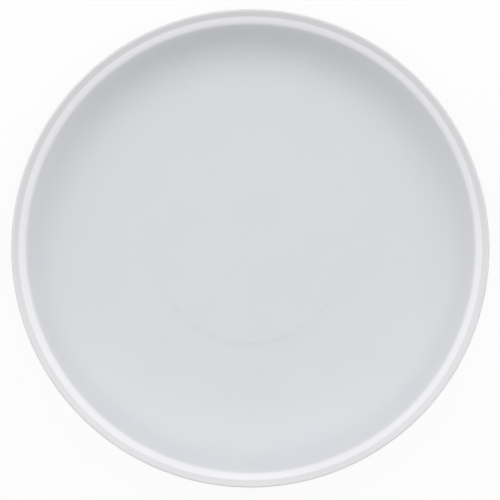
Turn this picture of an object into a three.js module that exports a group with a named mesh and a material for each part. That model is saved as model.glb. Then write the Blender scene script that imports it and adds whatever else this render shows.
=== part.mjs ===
// Charger plate: a fired porcelain body with a flat well, a flared wall, a rim of two bands and two foot
// rings, under three coats of glaze that the bare foot rings keep apart.
// Millimetres, +Z up. The origin is on the plate's axis, in the plane that the outer foot rests on.
import * as THREE from "three";

// Plan sizes, from the rim inwards
const rimRadius = 160; // outermost edge, glaze included
const brimWidth = 4.3; // outer band of the rim
const collarWidth = 4.65; // inner band of the rim, less steep
const wallWidth = 43; // cove and wall, from the collar in to the flat floor
const centreFallInside = 2.5; // raised middle of the floor, from the inner foot's middle in to its edge
const centreFallOutside = 6.5; // and out to where the floor is level again

// Heights
const footHeight = 3.4;
const floorThickness = 4.6;
const wallRise = 21.5; // flat floor up to the collar's inner edge
const collarRise = 1.9;
const collarCrown = 0.1; // collar's guiding corner, above the line between its edges
const centreRise = 0.6; // middle of the floor above the rest, held up by the inner foot while firing

// Shape of the wall and the rim
const coveReach = 30; // how far the floor's level line guides the cove
const wallTopReach = 10; // how far the wall's top slope guides it
const wallTopSlope = THREE.MathUtils.degToRad(37);
const brimSlope = THREE.MathUtils.degToRad(28);
const edgeRounding = 1.15;
const wallThickness = 4.6;
const rimThickness = 4; // at the outer edge, top to bottom, before the rounding
const underRimReach = 3; // run of the wall's slope under the rim

// Foot rings
const footWidth = 6;
const footSetback = 3; // outer foot's outer face, inside the end of the flat floor
const innerFootWidth = 5;
const footSpacing = 36.7; // middle of the outer foot in to the middle of the inner foot
const innerFootGap = 0.4; // the inner foot stays this far off the table
const footRounding = 0.7;
const footFillet = 0.8;
const bareHeight = 0.3; // bare clay up a foot's sides, above its rounding

// Glaze
const glazeThickness = 0.35;
const bondGap = 0.02; // between the body and a coat, so that the two solids never cross

// Steps of the round stretches
const turnSteps = 48;
const coveSteps = 8;
const centreSteps = 3;
const collarSteps = 2;
const underRimSteps = 2;
const roundingSteps = 2;
const samePlace = 1e-6; // points closer than this are one point

// Sizes that follow
const coatDepth = bondGap + glazeThickness;
const bodyRadius = rimRadius - coatDepth;
const collarOuterRadius = bodyRadius - brimWidth;
const collarInnerRadius = collarOuterRadius - collarWidth;
const wellRadius = collarInnerRadius - wallWidth;
const footOuterRadius = wellRadius - footSetback;
const footInnerRadius = footOuterRadius - footWidth;
const innerFootRadius = footOuterRadius - footWidth / 2 - footSpacing;
const innerFootInside = innerFootRadius - innerFootWidth / 2;
const innerFootOutside = innerFootRadius + innerFootWidth / 2;
const underside = footHeight;
const footLine = footRounding + bareHeight;
const innerFootLine = innerFootGap + footLine;
const floorTop = underside + floorThickness;
const collarInnerTop = floorTop + wallRise;
const collarOuterTop = collarInnerTop + collarRise;
const brimTop = collarOuterTop + brimWidth * Math.tan(brimSlope);

const at = (radius, height) => new THREE.Vector2(radius, height);
const bend = (start, corner, end, steps) =>
  new THREE.QuadraticBezierCurve(start, corner, end).getPoints(steps);
const sweep = (start, lead, trail, end, steps) =>
  new THREE.CubicBezierCurve(start, lead, trail, end).getPoints(steps);

// Moves an outline sideways off the body, which lies to the left of the outline's direction.
function offset(outline, distance) {
  const last = outline.length - 1;
  return outline.map((here, i) => {
    const before = i > 0 ? outline[i - 1] : here.clone().multiplyScalar(2).sub(outline[1]);
    const after = i < last ? outline[i + 1] : here.clone().multiplyScalar(2).sub(outline[last - 1]);
    const arriving = here.clone().sub(before).normalize();
    const leaving = after.clone().sub(here).normalize();
    const side = at(arriving.y + leaving.y, -arriving.x - leaving.x);
    return here.clone().addScaledVector(side, distance / (1 + arriving.dot(leaving)));
  });
}

const withoutDoubles = (outline) =>
  outline.filter((here, i) => i === 0 || here.distanceTo(outline[i - 1]) > samePlace);

// Bare foot: down one side from the glaze line, along the flat that it stands on, and up the other.
function bareFoot(insideRadius, outsideRadius, rest) {
  return [
    ...bend(
      at(insideRadius, rest + footRounding),
      at(insideRadius, rest),
      at(insideRadius + footRounding, rest),
      roundingSteps,
    ),
    ...bend(
      at(outsideRadius - footRounding, rest),
      at(outsideRadius, rest),
      at(outsideRadius, rest + footRounding),
      roundingSteps,
    ),
  ];
}

// Fillet from a foot's side to the underside of the floor, or back.
function intoFoot(radius, towards) {
  return bend(
    at(radius + towards * footFillet, underside),
    at(radius, underside),
    at(radius, underside - footFillet),
    roundingSteps,
  );
}

// Underside inside the inner foot.
const middleUnderside = [
  at(0, underside),
  ...intoFoot(innerFootInside, -1),
  at(innerFootInside, innerFootLine),
];

// Underside between the two feet.
const ringUnderside = [
  at(innerFootOutside, innerFootLine),
  ...intoFoot(innerFootOutside, 1).reverse(),
  ...intoFoot(footInnerRadius, -1),
  at(footInnerRadius, footLine),
];

// Cove and wall of the well, from the flat floor out to the collar.
const wallTop = at(collarInnerRadius, collarInnerTop);
const alongWall = at(Math.cos(wallTopSlope), Math.sin(wallTopSlope));
const wellWall = sweep(
  at(wellRadius, floorTop),
  at(wellRadius + coveReach, floorTop),
  wallTop.clone().addScaledVector(alongWall, -wallTopReach),
  wallTop,
  coveSteps,
);

// The wall's outside runs parallel to the well, and then on to the underside of the rim.
const wallOutside = offset(wellWall, wallThickness).filter((p) => p.x > footOuterRadius + footFillet);
const underRimStart = wallOutside[wallOutside.length - 1];
const rimBottom = at(bodyRadius - edgeRounding, brimTop - rimThickness);
const underRim = bend(
  underRimStart,
  underRimStart.clone().addScaledVector(alongWall, underRimReach),
  rimBottom,
  underRimSteps,
);

// The rim's edge, up to where the straight brim begins.
const alongBrim = at(Math.cos(brimSlope), Math.sin(brimSlope));
const rimEdge = [
  ...bend(
    rimBottom,
    at(bodyRadius, rimBottom.y),
    at(bodyRadius, rimBottom.y + edgeRounding),
    roundingSteps,
  ),
  ...bend(
    at(bodyRadius, brimTop - edgeRounding),
    at(bodyRadius, brimTop),
    at(bodyRadius, brimTop).addScaledVector(alongBrim, -edgeRounding),
    roundingSteps,
  ),
];

const collarTop = at(collarOuterRadius, collarOuterTop);
const collar = bend(
  collarTop,
  collarTop.clone().lerp(wallTop, 0.5).add(at(0, collarCrown)),
  wallTop,
  collarSteps,
);

// The floor falls off its raised middle above the inner foot.
const centreFall = sweep(
  at(innerFootRadius + centreFallOutside, floorTop),
  at(innerFootRadius, floorTop),
  at(innerFootRadius, floorTop + centreRise),
  at(innerFootRadius - centreFallInside, floorTop + centreRise),
  centreSteps,
);

// All that the face coat covers: up the outside from the glaze line, over the rim and in to the axis.
const outsideAndFace = withoutDoubles([
  at(footOuterRadius, footLine),
  ...intoFoot(footOuterRadius, 1).reverse(),
  ...wallOutside,
  ...underRim,
  ...rimEdge,
  ...collar,
  ...[...wellWall].reverse(),
  ...centreFall,
  at(0, floorTop + centreRise),
]);

const bodyOutline = withoutDoubles([
  ...middleUnderside,
  ...bareFoot(innerFootInside, innerFootOutside, innerFootGap),
  ...ringUnderside,
  ...bareFoot(footInnerRadius, footOuterRadius, 0),
  ...outsideAndFace,
]);

// A coat follows a stretch of the body's outline: its own surface one way and the bond the other way.
function coatOutline(stretch) {
  const surface = offset(stretch, coatDepth);
  const bond = offset(stretch, bondGap).reverse();
  if (stretch[0].x === 0) return [...surface, ...bond];
  const outline = [...bond, ...surface];
  return bond[0].x === 0 ? outline : [...outline, bond[0]];
}

const porcelain = { color: 0xebe7df, roughness: 0.8, metalness: 0 };
const faceGlaze = { color: 0xd8dade, roughness: 0.45, metalness: 0 };
const baseGlaze = { color: 0xdbdcde, roughness: 0.4, metalness: 0 };

function turned(name, outline, finish) {
  const geometry = new THREE.LatheGeometry(outline, turnSteps).rotateX(Math.PI / 2);
  const mesh = new THREE.Mesh(geometry, new THREE.MeshStandardMaterial(finish));
  mesh.name = name;
  return mesh;
}

const chargerPlate = new THREE.Group();
chargerPlate.add(
  turned("porcelain_body", bodyOutline, porcelain),
  turned("face_glaze", coatOutline(outsideAndFace), faceGlaze),
  turned("base_ring_glaze", coatOutline(withoutDoubles(ringUnderside)), baseGlaze),
  turned("base_centre_glaze", coatOutline(withoutDoubles(middleUnderside)), baseGlaze),
);

export default chargerPlate;
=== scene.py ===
# %% [markdown]
# # A charger plate in glazed porcelain
# A charger is the wide plate that stays on the table under a dinner plate. This one is a single
# body of pressed porcelain with a flat well, a flared wall and a narrow rim of two bands. It stands
# on the outer of two foot rings. The rings are wiped clean before the glaze is fired, so the glaze
# ends up as three separate coats.
#
# The plate has been measured and drawn as plain solids before. They are loaded first and never
# move. Every new piece is built around them in metres, with the plate's axis on Z and the table top
# at height 0.

# %% Load the measured plate
import math

import bmesh
import bpy
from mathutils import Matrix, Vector
from mathutils.geometry import interpolate_bezier


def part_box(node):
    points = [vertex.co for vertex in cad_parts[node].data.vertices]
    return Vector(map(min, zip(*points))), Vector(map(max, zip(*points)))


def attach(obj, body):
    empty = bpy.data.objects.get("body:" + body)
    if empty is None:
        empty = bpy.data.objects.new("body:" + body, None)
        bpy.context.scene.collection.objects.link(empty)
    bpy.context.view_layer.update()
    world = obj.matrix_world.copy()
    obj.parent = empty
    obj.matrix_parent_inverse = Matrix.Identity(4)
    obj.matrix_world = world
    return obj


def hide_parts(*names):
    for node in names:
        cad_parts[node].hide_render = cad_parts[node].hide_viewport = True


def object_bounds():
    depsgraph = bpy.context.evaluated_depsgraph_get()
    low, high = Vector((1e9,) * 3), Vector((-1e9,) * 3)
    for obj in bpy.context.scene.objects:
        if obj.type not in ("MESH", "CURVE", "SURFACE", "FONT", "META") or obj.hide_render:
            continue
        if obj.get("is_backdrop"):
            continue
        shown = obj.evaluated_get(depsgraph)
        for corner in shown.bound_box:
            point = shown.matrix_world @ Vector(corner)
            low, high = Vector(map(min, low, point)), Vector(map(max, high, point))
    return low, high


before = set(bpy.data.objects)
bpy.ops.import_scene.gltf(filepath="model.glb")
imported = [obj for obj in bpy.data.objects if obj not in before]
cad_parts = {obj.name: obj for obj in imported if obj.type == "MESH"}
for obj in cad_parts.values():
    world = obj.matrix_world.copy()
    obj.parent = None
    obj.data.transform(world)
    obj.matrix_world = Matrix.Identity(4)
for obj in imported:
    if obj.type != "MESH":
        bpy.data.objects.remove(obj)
solid_low, solid_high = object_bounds()
millimetre = 0.001
solid_size = [round(side / millimetre, 2) for side in solid_high - solid_low]
print("measured plate, in millimetres:", solid_size)

# %% [markdown]
# ## The outline of the clay
# A plate is a turned shape, so half a section through the clay says everything about its form. It
# could be sculpted, or lofted from a stack of circles. Here the section is drawn once as a chain of
# corners, because each radius and height is then one named value, as it is for the potter who cuts
# the template.
#
# A corner is a radius, a height and a reach: how far along its two edges the corner is rounded off.

# %% Sizes of the rim and the well
coat_share = 0.995
face_low, face_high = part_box("face_glaze")
rim_radius = face_high.x
body_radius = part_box("porcelain_body")[1].x
coat_depth = coat_share * (rim_radius - body_radius)

brim_width = 0.0043
brim_slope = math.radians(28)
collar_width = 0.00465
collar_rise = 0.0019
collar_crown = 0.0001
wall_width = 0.043
wall_rise = 0.0215
wall_thickness = 0.0046
rim_thickness = 0.004
edge_rounding = 0.00115
floor_thickness = 0.0046
foot_height = 0.0034

collar_outer_radius = body_radius - brim_width
collar_inner_radius = collar_outer_radius - collar_width
well_radius = collar_inner_radius - wall_width
underside = foot_height
floor_top = underside + floor_thickness
collar_inner_top = floor_top + wall_rise
collar_outer_top = collar_inner_top + collar_rise
brim_top = collar_outer_top + brim_width * math.tan(brim_slope)
print(f"coat {coat_depth / millimetre:.2f} mm deep, well floor at {floor_top / millimetre:.2f} mm")

# %% Sizes of the feet
foot_width = 0.006
foot_setback = 0.003
foot_spacing = 0.0367
foot_rounding = 0.0007
foot_fillet = 0.0008
inner_foot_width = 0.005
inner_foot_gap = 0.0004

foot_outer_radius = well_radius - foot_setback
foot_inner_radius = foot_outer_radius - foot_width
inner_foot_radius = foot_outer_radius - foot_width / 2 - foot_spacing
inner_foot_inside = inner_foot_radius - inner_foot_width / 2
inner_foot_outside = inner_foot_radius + inner_foot_width / 2
foot_line = face_low.z
inner_foot_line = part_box("base_centre_glaze")[0].z
foot_edges = [round(edge / millimetre, 2) for edge in (foot_outer_radius, inner_foot_outside)]
print("outer edges of the feet, in millimetres from the axis:", foot_edges)

# %% [markdown]
# The wall of the well is the one long curve of the plate. It leaves the floor level, is steepest
# three quarters of the way up and eases off under the rim, which a cubic curve does with two
# guiding reaches. The outside of the wall runs beside it at a constant thickness, so its points are
# the same curve moved square to itself.

# %% The wall, inside and outside
cove_reach = 0.030
wall_top_reach = 0.010
wall_top_slope = math.radians(37)
wall_points = 37

wall_foot = Vector((well_radius, 0, floor_top))
wall_top = Vector((collar_inner_radius, 0, collar_inner_top))
along_wall = Vector((math.cos(wall_top_slope), 0, math.sin(wall_top_slope)))
well_wall = interpolate_bezier(
    wall_foot,
    wall_foot + Vector((cove_reach, 0, 0)),
    wall_top - wall_top_reach * along_wall,
    wall_top,
    wall_points,
)


def moved_aside(curve, distance):
    """The curve's points, each moved to the right of the curve's direction there."""
    ahead = curve[1:] + curve[-1:]
    behind = curve[:1] + curve[:-1]
    courses = [(after - before).normalized() for before, after in zip(behind, ahead)]
    sideways = [Vector((course.z, 0, -course.x)) for course in courses]
    return [point + distance * side for point, side in zip(curve, sideways)]


wall_outside = moved_aside(well_wall, wall_thickness)
steepest = max((b - a).z / (b - a).x for a, b in zip(well_wall, well_wall[1:]))
print(f"the wall's steepest slope is {math.degrees(math.atan(steepest)):.1f} degrees")

# %% [markdown]
# In the photograph a faint ring lies on the floor of the well, two fifths of the way out to the
# rim. The floor sags a little in the kiln but not above the inner foot, which holds its middle up.
# So the floor falls off the raised middle just there, quickly at first and then more slowly, along
# a second cubic curve.

# %% The fall off the raised middle
centre_rise = 0.0006
centre_fall_inside = 0.0025
centre_fall_outside = 0.0065
fall_points = 17

centre_top = floor_top + centre_rise
centre_fall = interpolate_bezier(
    Vector((inner_foot_radius + centre_fall_outside, 0, floor_top)),
    Vector((inner_foot_radius, 0, floor_top)),
    Vector((inner_foot_radius, 0, centre_top)),
    Vector((inner_foot_radius - centre_fall_inside, 0, centre_top)),
    fall_points,
)
print(f"the middle of the floor is {centre_rise / millimetre:.2f} mm higher than the rest")

# %% [markdown]
# The outline is kept in five stretches, because the glaze covers three of them and the two feet
# stay bare. From the axis outwards underneath: the middle, the inner foot, the ring between the
# feet, the outer foot, and then one long stretch up the outside, over the rim and back in across
# the well.

# %% The stretches under the plate
middle_underside = [
    (0, underside, 0),
    (inner_foot_inside, underside, foot_fillet),
    (inner_foot_inside, inner_foot_line, 0),
]
inner_foot = [
    (inner_foot_inside, inner_foot_gap, foot_rounding),
    (inner_foot_outside, inner_foot_gap, foot_rounding),
]
ring_underside = [
    (inner_foot_outside, inner_foot_line, 0),
    (inner_foot_outside, underside, foot_fillet),
    (foot_inner_radius, underside, foot_fillet),
    (foot_inner_radius, foot_line, 0),
]
outer_foot = [
    (foot_inner_radius, 0, foot_rounding),
    (foot_outer_radius, 0, foot_rounding),
]
underneath = middle_underside + inner_foot + ring_underside + outer_foot
print("corners underneath:", len(underneath))

# %% The stretch over the outside and the face
under_rim_reach = 0.003
under_rim_rounding = 0.0024
rim_rounding = 0.0011
crown_rounding = 0.0015
outer_crease_rounding = 0.0006
inner_crease_rounding = 0.001
under_rim = wall_outside[-1] + under_rim_reach * along_wall
rim_bottom = brim_top - rim_thickness
rim_shoulder = body_radius - edge_rounding
collar_middle_radius = (collar_inner_radius + collar_outer_radius) / 2
collar_middle_top = (collar_inner_top + collar_outer_top) / 2 + collar_crown

outside_and_face = [
    (foot_outer_radius, foot_line, 0),
    (foot_outer_radius, underside, foot_fillet),
    *[(point.x, point.z, 0) for point in wall_outside],
    (under_rim.x, under_rim.z, under_rim_rounding),
    (rim_shoulder, rim_bottom, 0),
    (body_radius, rim_bottom, rim_rounding),
    (body_radius, brim_top, rim_rounding),
    (collar_outer_radius, collar_outer_top, outer_crease_rounding),
    (collar_middle_radius, collar_middle_top, crown_rounding),
    (collar_inner_radius, collar_inner_top, inner_crease_rounding),
    *[(point.x, point.z, 0) for point in reversed(well_wall[:-1])],
    *[(point.x, point.z, 0) for point in centre_fall],
    (0, centre_top, 0),
]
print("corners over the outside and the face:", len(outside_and_face))

# %% [markdown]
# ## From outline to clay
# A jigger turns the clay against a template. Spin does the same with a chain of edges: it turns the
# chain once about the axis and joins the last copy to the first. The corners are rounded before
# that, while each is a single vertex. Where the chain ends on the axis, the spin leaves a pile of
# vertices in one place, so doubles are merged before the faces are turned to look outwards.

# %% Draw a chain and turn it
turns = 240
rounding_steps = 6
same_place = 1e-7


def drawn_chain(corners):
    """The corners joined by edges in the XZ plane, each rounded by its own reach."""
    shape = bmesh.new()
    chain = [shape.verts.new((radius, 0, height)) for radius, height, reach in corners]
    for start, end in zip(chain, chain[1:]):
        shape.edges.new((start, end))
    for vertex, (radius, height, reach) in zip(chain, corners):
        if reach:
            bmesh.ops.bevel(
                shape,
                geom=[vertex],
                offset=reach,
                offset_type="OFFSET",
                segments=rounding_steps,
                profile=0.5,
                affect="VERTICES",
                material=-1,
            )
    return shape


def turn_about_axis(shape):
    """Spins the chain into a surface of revolution and closes its seam and its pole."""
    bmesh.ops.spin(
        shape,
        geom=shape.verts[:] + shape.edges[:],
        cent=(0, 0, 0),
        axis=(0, 0, 1),
        angle=math.tau,
        steps=turns,
        use_merge=True,
    )
    bmesh.ops.remove_doubles(shape, verts=shape.verts, dist=same_place)
    bmesh.ops.recalc_face_normals(shape, faces=shape.faces)


print("ready to turn in", turns, "steps")

# %% A finished mesh becomes a piece
sharp_angle = 40
sharp_edge = math.radians(sharp_angle)


def piece_from(shape, name, node):
    """Puts the mesh in the scene as the piece that stands for one measured node."""
    open_edges = sum(not edge.is_manifold for edge in shape.edges)
    mesh = bpy.data.meshes.new(name)
    shape.to_mesh(mesh)
    shape.free()
    mesh.shade_smooth()
    mesh.set_sharp_from_angle(angle=sharp_edge)
    piece = bpy.data.objects.new(name, mesh)
    bpy.context.scene.collection.objects.link(piece)
    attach(piece, "root")
    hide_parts(node)
    print(f"{name}: {len(mesh.polygons)} faces, {open_edges} open edges")
    return piece


print("edges stay sharp from", sharp_angle, "degrees")

# %% The fired body
clay = drawn_chain(underneath + outside_and_face)
turn_about_axis(clay)
fired_body = piece_from(clay, "fired_body", "porcelain_body")

# %% [markdown]
# ## The coats of glaze
# Glaze is a skin of glass about a third of a millimetre thick. It could be only a paint on the
# clay, but it has a real edge at the foot, where it stops in a soft lip above the bare ring. So
# each coat is the stretch of clay that it covers, turned again, made to look away from the clay,
# and given its thickness with Solidify. Solidify grows a skin behind the faces, so a skin that
# grows in front of them has a negative thickness and is turned right side out afterwards. The lip
# is then rounded with a bevel. The coat is a two-hundredth thinner than it was measured, so that no
# rounded-up last digit carries it outside the measured box.

# %% Grow a coat on a stretch
lip_rounding = 0.00022
lip_steps = 3
cubic_centimetre = 1e-6


def coat_on(stretch, looks_up):
    """A closed skin of glaze on one stretch of the clay."""
    shape = drawn_chain(stretch)
    turn_about_axis(shape)
    upward_area = sum(face.normal.z * face.calc_area() for face in shape.faces)
    if (upward_area > 0) != looks_up:
        bmesh.ops.reverse_faces(shape, faces=shape.faces)
    clay_side = set(shape.verts)
    bmesh.ops.solidify(shape, geom=shape.faces[:], thickness=-coat_depth)
    bmesh.ops.reverse_faces(shape, faces=shape.faces)
    grown = [edge for edge in shape.edges if not clay_side.intersection(edge.verts)]
    lip = [edge for edge in grown if edge.calc_face_angle() > sharp_edge]
    bmesh.ops.bevel(
        shape,
        geom=lip,
        offset=lip_rounding,
        offset_type="OFFSET",
        segments=lip_steps,
        profile=0.5,
        affect="EDGES",
        material=-1,
    )
    volume = shape.calc_volume() / cubic_centimetre
    print(f"a coat of {volume:.2f} cubic centimetres with {len(lip)} edges in its lip")
    return shape


print(f"lips are rounded by {lip_rounding / millimetre:.2f} mm")

# %% The three coats
face_skin = coat_on(outside_and_face, looks_up=True)
face_coat = piece_from(face_skin, "face_coat", "face_glaze")
ring_skin = coat_on(ring_underside, looks_up=False)
ring_coat = piece_from(ring_skin, "base_ring_coat", "base_ring_glaze")
centre_skin = coat_on(middle_underside, looks_up=False)
centre_coat = piece_from(centre_skin, "base_centre_coat", "base_centre_glaze")

# %% [markdown]
# ## A way to write finishes
# A finish is a tree of nodes, and most of those nodes do plain sums. They could be placed one by
# one, but then the sum is hard to see. Here a small class wraps a node's output and gives it the
# usual operators, so a mask is written as a line of arithmetic and each operator adds its Math
# node. Every node comes from one method.

# %% Sums of node outputs
class Field:
    """A node's output, a value that changes over the surface."""

    def __init__(self, recipe, socket):
        self.recipe = recipe
        self.socket = socket

    def maths(self, operation, *others):
        return self.recipe.node("Math", {"operation": operation}, dict(enumerate((self, *others))))

    def __add__(self, other):
        return self.maths("ADD", other)

    def __sub__(self, other):
        return self.maths("SUBTRACT", other)

    def __rsub__(self, other):
        return self.recipe.node("Math", {"operation": "SUBTRACT"}, {0: other, 1: self})

    def __mul__(self, other):
        return self.maths("MULTIPLY", other)

    __radd__ = __add__
    __rmul__ = __mul__


def distance_to_axis(across, along):
    """How far a point is from an upright axis, from its offsets along X and along Y."""
    return (across * across + along * along).maths("SQRT")


print("node outputs can be added, subtracted and multiplied")

# %% A recipe holds the nodes of one finish
noise_middle = 0.5
ceramic_ior = 1.5


class Recipe:
    """A node tree that is written as a recipe."""

    def __init__(self, owner):
        owner.use_nodes = True
        self.tree = owner.node_tree
        self.tree.nodes.clear()

    def node(self, kind, settings, sockets, output=0):
        """Adds a node: its settings first, then the values or links of its sockets."""
        made = self.tree.nodes.new("ShaderNode" + kind)
        for name, value in settings.items():
            setattr(made, name, value)
        for name, value in sockets.items():
            if isinstance(value, Field):
                self.tree.links.new(value.socket, made.inputs[name])
            else:
                made.inputs[name].default_value = value
        return Field(self, made.outputs[output]) if made.outputs else None

    def place(self):
        """Where a point of the surface lies, as a vector and as three numbers in metres."""
        spot = self.node("TexCoord", {}, {}, "Object")
        return spot, [self.node("SeparateXYZ", {}, {0: spot}, axis) for axis in "XYZ"]

    def rising(self, value, low, high):
        """0 below low, 1 above high, and a soft rise between them."""
        sockets = {"Value": value, "From Min": low, "From Max": high}
        return self.node("MapRange", {"interpolation_type": "SMOOTHSTEP"}, sockets)

    def noise(self, spot, scale, detail):
        """Cloudy values about 0, mostly between -0.5 and 0.5."""
        sockets = {"Vector": spot, "Scale": scale, "Detail": detail}
        return self.node("TexNoise", {}, sockets) - noise_middle

    def blend(self, share, first, second):
        """The first colour, with a share of the second."""
        return self.node("Mix", {"data_type": "RGBA"}, {0: share, 6: first, 7: second}, 2)

    def shine(self, colour, roughness, height):
        """Ends the recipe: a glossy surface with fine relief, whose height is in metres."""
        relief = self.node("Bump", {}, {"Strength": 1, "Distance": 1, "Height": height})
        sockets = {"Base Color": colour, "Roughness": roughness, "IOR": ceramic_ior, "Normal": relief}
        surface = self.node("BsdfPrincipled", {}, sockets)
        self.node("OutputMaterial", {}, {"Surface": surface})


def finish_on(piece, name):
    """A new material on the piece, and its recipe."""
    material = bpy.data.materials.new(name)
    piece.data.materials.append(material)
    return Recipe(material)


print("recipes can be written")

# %% [markdown]
# ## The face glaze
# The glaze is a pale cool grey where it lies thick, in the well and on the wall. On the rim it runs
# off while it is molten and the white clay shows through, most of all on the collar, the inner band
# of the rim. The collar's white is lighter still than thin glaze gives: part of it is a painted
# highlight, the gloss that the collar catches from the lights. A ring drawn on could show the thin
# glaze, but the thinning follows the plate's own form, so it is worked out from the distance to the
# axis and the height. The white ring isn't quite even on the real plate, so its inner edge is
# measured from a point a little off the axis. Faint clouds, a few iron specks from the clay and the
# slight orange-peel skin of fired glass keep the surface from looking like plastic.

# %% Colours of the face glaze
well_grey = (0.693, 0.705, 0.734, 1)
# The collar colour is the white of thin glaze, made lighter by a painted highlight.
collar_white_and_painted_highlight = (0.879, 0.878, 0.906, 1)
brim_white = (0.742, 0.744, 0.757, 1)
cloud_grey = (0.684, 0.698, 0.731, 1)
speck_brown = (0.40, 0.37, 0.34, 1)
# A speck is its place along X, its place along Y and its size.
specks = [
    (-0.0199, 0.1141, 0.0005),
    (-0.0430, 0.1093, 0.00036),
    (-0.0480, -0.0429, 0.00028),
    (-0.0148, 0.0867, 0.00027),
]
print("iron specks:", len(specks))

# %% Where the face glaze is thin and the collar carries a painted highlight
collar_inset = 0.0001
collar_blur = 0.0016
brim_blur = 0.0006
ring_aside_x = 0.0003
ring_aside_y = -0.0001
thinning_drop = 0.002

collar_edge = collar_inner_radius + collar_inset
brim_edge = collar_outer_radius - coat_depth / 2
thinning_start = collar_inner_top - thinning_drop

glaze = finish_on(face_coat, "face_glaze_finish")
spot, (x, y, z) = glaze.place()
radius = distance_to_axis(x, y)
ring_radius = distance_to_axis(x - ring_aside_x, y - ring_aside_y)
rim = glaze.rising(ring_radius, collar_edge - collar_blur, collar_edge + collar_blur)
rim = rim * glaze.rising(z, thinning_start, collar_inner_top)
brim = rim * glaze.rising(radius, brim_edge - brim_blur, brim_edge + brim_blur)
print(f"the white ring starts about {collar_edge / millimetre:.1f} mm from the axis")

# %% Recipe of the face glaze
cloud_scale = 40
cloud_detail = 4
cloud_low = -0.2
cloud_high = 0.3
speck_core = 0.5
speck_fade = 1.2
speck_strength = 0.55
peel_scale = 320
peel_detail = 2
peel_depth = 0.00002
well_roughness = 0.5
rim_roughness = 0.25
cloud_roughness = 0.06

clouds = glaze.noise(spot, cloud_scale, cloud_detail)
colour = glaze.blend(glaze.rising(clouds, cloud_low, cloud_high), well_grey, cloud_grey)
# The collar's white goes on here: thin glaze and a painted highlight together.
colour = glaze.blend(rim, colour, collar_white_and_painted_highlight)
colour = glaze.blend(brim, colour, brim_white)
for speck_x, speck_y, size in specks:
    speck_distance = distance_to_axis(x - speck_x, y - speck_y)
    speck = 1 - glaze.rising(speck_distance, speck_core * size, speck_fade * size)
    colour = glaze.blend(speck * speck_strength, colour, speck_brown)

orange_peel = glaze.noise(spot, peel_scale, peel_detail)
roughness = well_roughness + rim * (rim_roughness - well_roughness) + clouds * cloud_roughness
glaze.shine(colour, roughness, orange_peel * peel_depth)
print("face glaze:", len(glaze.tree.nodes), "nodes")

# %% [markdown]
# ## The base glaze
# Under the plate the same glaze is a little lighter. It gathers in the corners beside the foot
# rings, where it is deeper in colour, and it keeps a few pinholes where gas came out of the clay.
# The pinholes could be modelled, but they are a third of a millimetre wide, so a pattern of cells
# places them, a pit in one cell out of six. Their width is counted in cells.

# %% Colours and amounts of the base glaze
base_grey = (0.76, 0.77, 0.785, 1)
pooled_grey = (0.69, 0.715, 0.74, 1)
pinhole_grey = (0.52, 0.5, 0.48, 1)
pool_reach = 0.0022
pool_strength = 0.8
base_cloud_scale = 55
base_cloud_low = -0.25
base_cloud_high = 0.3
base_cloud_strength = 0.4
base_roughness = 0.3
base_cloud_roughness = 0.08
cells_per_metre = 130
pinhole_core = 0.012
pinhole_fade = 0.03
pinhole_lot_low = 0.82
pinhole_lot_high = 0.84
pinhole_strength = 0.7
pinhole_depth = 0.0001
pinhole_width = (pinhole_core + pinhole_fade) / cells_per_metre
print(f"pinholes about {pinhole_width / millimetre:.2f} mm wide")

# %% Recipe of the base glaze
def base_glaze_on(piece, inner_corner, outer_corner):
    """The base glaze, pooled beside the corners that it meets at these radii."""
    glaze = finish_on(piece, piece.name + "_finish")
    spot, offsets = glaze.place()
    radius = distance_to_axis(*offsets[:2])
    clouds = glaze.noise(spot, base_cloud_scale, cloud_detail)
    pooled = glaze.rising(radius, outer_corner - pool_reach, outer_corner)
    pooled = pooled + 1 - glaze.rising(radius, inner_corner, inner_corner + pool_reach)
    cells = {"Vector": spot, "Scale": cells_per_metre}
    cell_distance = glaze.node("TexVoronoi", {}, cells, "Distance")
    lot = glaze.node("SeparateColor", {}, {0: glaze.node("TexVoronoi", {}, cells, "Color")})
    pinhole = 1 - glaze.rising(cell_distance, pinhole_core, pinhole_fade)
    pinhole = pinhole * glaze.rising(lot, pinhole_lot_low, pinhole_lot_high)
    cloudy = glaze.rising(clouds, base_cloud_low, base_cloud_high)
    colour = glaze.blend(cloudy * base_cloud_strength, base_grey, pooled_grey)
    colour = glaze.blend(pooled * pool_strength, colour, pooled_grey)
    colour = glaze.blend(pinhole * pinhole_strength, colour, pinhole_grey)
    roughness = base_roughness + clouds * base_cloud_roughness
    orange_peel = glaze.noise(spot, peel_scale, peel_detail)
    glaze.shine(colour, roughness, orange_peel * peel_depth - pinhole * pinhole_depth)
    print(piece.name + ":", len(glaze.tree.nodes), "nodes")


base_glaze_on(ring_coat, inner_foot_outside, foot_inner_radius)
base_glaze_on(centre_coat, -pool_reach, inner_foot_inside)

# %% [markdown]
# ## The bare clay
# The two foot rings are the only clay to be seen. Unglazed porcelain is matt, a little warm, and
# feels like fine paper. The flat of each ring is ground smooth after firing, which leaves grey
# hairlines that run round with the ring. They could be scratched in by hand, but a noise that only
# varies with the distance to the axis gives just such rings, and a second noise breaks them up.

# %% Where the clay is rubbed
hairline_scale = 2600
hairline_detail = 2
hairline_low = 0.06
hairline_high = 0.22
patch_scale = 38
patch_detail = 3
patch_low = -0.1
patch_high = 0.2

bare = finish_on(fired_body, "bare_clay_finish")
spot, (x, y, z) = bare.place()
ring_spot = bare.node("CombineXYZ", {}, {0: distance_to_axis(x, y)})
ring_noise = bare.noise(ring_spot, hairline_scale, hairline_detail)
hairlines = bare.rising(ring_noise, hairline_low, hairline_high)
patch_noise = bare.noise(spot, patch_scale, patch_detail)
patches = bare.rising(patch_noise, patch_low, patch_high)
rubbed_height = inner_foot_gap + foot_rounding / 2
resting = 1 - bare.rising(z, inner_foot_gap, rubbed_height)
rubbed = hairlines * patches * resting
print(f"hairlines end {rubbed_height / millimetre:.2f} mm above the table")

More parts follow.
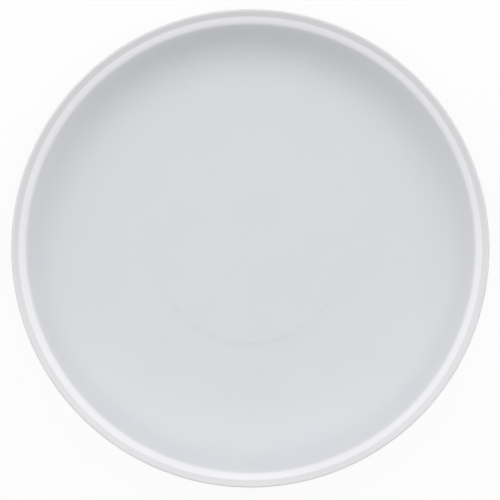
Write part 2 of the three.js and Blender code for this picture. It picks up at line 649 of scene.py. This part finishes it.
# %% Recipe of the bare clay
clay_white = (0.84, 0.815, 0.77, 1)
rubbed_grey = (0.58, 0.57, 0.55, 1)
rubbed_strength = 0.55
grain_scale = 2200
grain_detail = 3
grain_spread = 0.4
grain_strength = 0.12
grain_depth = 0.00003
clay_roughness = 0.78
rubbed_smoothing = 0.2
grain_roughness = 0.06

grain = bare.noise(spot, grain_scale, grain_detail)
grainy = bare.rising(grain, -grain_spread, grain_spread)
colour = bare.blend(grainy * grain_strength, clay_white, rubbed_grey)
colour = bare.blend(rubbed * rubbed_strength, colour, rubbed_grey)
roughness = clay_roughness - rubbed * rubbed_smoothing + grain * grain_roughness
bare.shine(colour, roughness, grain * grain_depth)
print("bare clay:", len(bare.tree.nodes), "nodes")

# %% [markdown]
# ## Floor and light
# The plate lies on a plain white table in a pale room, under three broad soft lights: one overhead,
# and one low behind it on each side, which brighten the near half of the well. A small fourth light
# hangs higher behind it, where the near side of the collar mirrors it as a bright arc. For the
# camera and in reflections the table and the room are white, which Light Path can tell apart from
# the rays that only carry light. The table mixes its white with the light that falls on it, so the
# plate's soft shadow stays.
#
# Where the lights hang follows from the photograph: the wall of the well faces every way once, so
# its brightness round the plate shows where the light came from.

# %% The table
floor_half = 6
table_white = (0.93, 0.93, 0.93, 1)
pure_white = (1, 1, 1, 1)
glow_share = 0.9


def rays_that_show(recipe):
    """1 for the rays whose result is seen: straight, mirrored or through glass."""
    kinds = ["Is Camera Ray", "Is Glossy Ray", "Is Transmission Ray"]
    straight, mirrored, through = [recipe.node("LightPath", {}, {}, kind) for kind in kinds]
    return straight.maths("MAXIMUM", mirrored).maths("MAXIMUM", through)


table_shape = bmesh.new()
bmesh.ops.create_grid(table_shape, x_segments=1, y_segments=1, size=floor_half)
table_mesh = bpy.data.meshes.new("table_top")
table_shape.to_mesh(table_mesh)
table_shape.free()
table_top = bpy.data.objects.new("table_top", table_mesh)
bpy.context.scene.collection.objects.link(table_top)
table_top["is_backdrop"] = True

table = finish_on(table_top, "table_finish")
lit = table.node("BsdfDiffuse", {}, {"Color": table_white})
glow = table.node("Emission", {}, {"Color": pure_white, "Strength": 1})
seen = table.node("MixShader", {}, {0: rays_that_show(table) * glow_share, 1: lit, 2: glow})
table.node("OutputMaterial", {}, {"Surface": seen})
print("table:", 2 * floor_half, "metres square")

# %% The room
room_strength = 0.196

room_world = bpy.data.worlds.new("room")
bpy.context.scene.world = room_world
room = Recipe(room_world)
shown = rays_that_show(room)
strength = shown + (1 - shown) * room_strength
walls = room.node("Background", {}, {"Color": pure_white, "Strength": strength})
room.node("OutputWorld", {}, {"Surface": walls})
print("room:", len(room.tree.nodes), "nodes")

# %% The four lights
light_distance = 3
overhead_lean = 10
overhead_turn = 165.5
overhead_width = 2.63
overhead_power = 33.7
side_lean = 57.8
right_turn = 56.3
left_turn = -64.4
side_width = 3.35
right_power = 41.2
left_power = 41.8
back_lean = 37
back_turn = 1
back_width = 0.55
back_power = 2.8


def hang_light(name, lean, turn, width, power):
    """A soft round light that faces the plate. Lean from upright and turn from +Y are in degrees."""
    lean, turn = math.radians(lean), math.radians(turn)
    level = math.sin(lean)
    towards = Vector((level * math.sin(turn), level * math.cos(turn), math.cos(lean)))
    light = bpy.data.lights.new(name, "AREA")
    light.shape = "DISK"
    light.size = width
    light.energy = power
    lamp = bpy.data.objects.new(name, light)
    lamp.location = light_distance * towards
    lamp.rotation_euler = (-towards).to_track_quat("-Z", "Y").to_euler()
    bpy.context.scene.collection.objects.link(lamp)


hang_light("overhead_light", overhead_lean, overhead_turn, overhead_width, overhead_power)
hang_light("right_light", side_lean, right_turn, side_width, right_power)
hang_light("left_light", side_lean, left_turn, side_width, left_power)
hang_light("back_light", back_lean, back_turn, back_width, back_power)
print("four lights hung", light_distance, "metres away")

# %% [markdown]
# ## The camera
# The photograph looks straight down. The plate's outline is a circle whose radius in the picture is
# known, so the lens follows from the camera's height. The plate lies a little above the picture's
# middle: the camera is moved aside by that much, which keeps it level.

# %% The camera straight above
camera_height = 1.6
picture_half = 250
outline_pixels = 239.15
aside_x = -0.0002
aside_y = -0.00114

outline_height = brim_top - edge_rounding
camera_data = bpy.data.cameras.new("camera")
half_view = rim_radius / (camera_height - outline_height) * picture_half / outline_pixels
camera_data.lens = camera_data.sensor_width / 2 / half_view
camera = bpy.data.objects.new("camera", camera_data)
camera.location = (aside_x, aside_y, camera_height)
bpy.context.scene.collection.objects.link(camera)
bpy.context.scene.camera = camera
bpy.context.scene.view_settings.view_transform = "Standard"
print(f"lens {camera_data.lens:.1f} mm")

# %% [markdown]
# ## The size at the end
# The dressed plate has to stay the size that was measured, so its box is printed like the measured
# one.

# %% Sizes before and after
dressed_low, dressed_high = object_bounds()
dressed_size = [round(side / millimetre, 2) for side in dressed_high - dressed_low]
print("dressed plate, in millimetres:", dressed_size)
